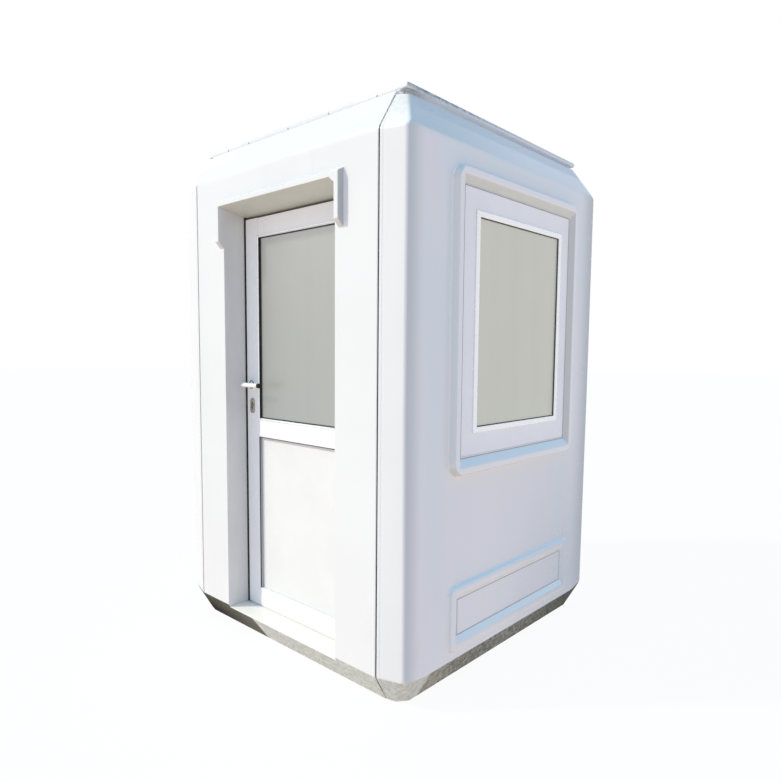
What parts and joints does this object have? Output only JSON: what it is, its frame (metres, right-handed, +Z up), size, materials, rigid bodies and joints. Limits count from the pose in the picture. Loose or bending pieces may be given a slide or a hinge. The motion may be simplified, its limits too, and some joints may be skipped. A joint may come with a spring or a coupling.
{
  "type": "guard booth",
  "caption": "Square white moulded guard booth with leaning shoulders, a hinged glazed door under a raised hood, framed windows with raised surrounds and a flat lipped roof.",
  "frame": {"origin": "middle of the flat underside", "axes": "+Z up, the door faces -Y, the window wall of the picture faces +X"},
  "size_m": [1.564, 1.602, 2.404],
  "materials": {
    "gelcoat": "glossy white gelcoat on glass-fibre",
    "roof_gelcoat": "glossy white gelcoat on glass-fibre",
    "lining": "matt white inner lining",
    "floor_frame": "painted steel floor frame, boarded in",
    "floor_sheet": "grey floor sheet",
    "glass": "clear glazing with a pale reflective film",
    "gasket": "black glazing gasket",
    "window_frame": "white window frame",
    "sash": "bright white sash",
    "door_frame": "white coated aluminium",
    "door_panel": "white panel",
    "door_profile": "white coated aluminium",
    "hinge": "white coated hinge",
    "lock_plate": "dark worn brass",
    "spindle": "plain steel",
    "handle": "white plastic"
  },
  "bodies": {
    "booth": {"floor_base": "floor_frame", "floor_deck": "floor_sheet", "ceiling_panel": "lining", "roof_cap": "roof_gelcoat", "front_left_pillar": "gelcoat", "front_right_pillar": "gelcoat", "front_head": "gelcoat", "door_sill": "gelcoat", "right_wall": "gelcoat", "left_wall": "gelcoat", "back_wall": "gelcoat", "door_frame_lock_side": "door_frame", "door_frame_hinge_side": "door_frame", "door_frame_head": "door_frame", "right_window_frame": "window_frame", "right_window_sash": "sash", "right_window_gasket": "gasket", "right_window_glass": "glass", "left_window_frame": "window_frame", "left_window_sash": "sash", "left_window_gasket": "gasket", "left_window_glass": "glass", "back_window_frame": "window_frame", "back_window_sash": "sash", "back_window_gasket": "gasket", "back_window_glass": "glass", "lower_hinge_jamb_half": "hinge", "upper_hinge_jamb_half": "hinge"},
    "door_leaf": {"door_lock_stile": "door_profile", "door_hinge_stile": "door_profile", "door_top_rail": "door_profile", "door_mid_rail": "door_profile", "door_bottom_rail": "door_profile", "door_glass": "glass", "door_gasket": "gasket", "door_panel": "door_panel", "lower_hinge_leaf_half": "hinge", "upper_hinge_leaf_half": "hinge", "rosette_outside": "handle", "rosette_inside": "handle", "lock_plate": "lock_plate"},
    "door_lever": {"lever_outside": "handle", "lever_inside": "handle", "lever_spindle": "spindle"}
  },
  "joints": [
    {"name": "door_hinge", "type": "hinge", "parent": "booth", "child": "door_leaf", "pos_m": [0.372, -0.66, 0.5], "axis": [0, 0, 1], "range_deg": [0, 95]},
    {"name": "lever_turn", "type": "hinge", "parent": "door_leaf", "child": "door_lever", "pos_m": [-0.335, -0.652, 1.215], "axis": [0, 1, 0], "range_deg": [0, 40], "stiffness_Nm_per_rad": 1.5, "springref_deg": -17.19}
  ]
}
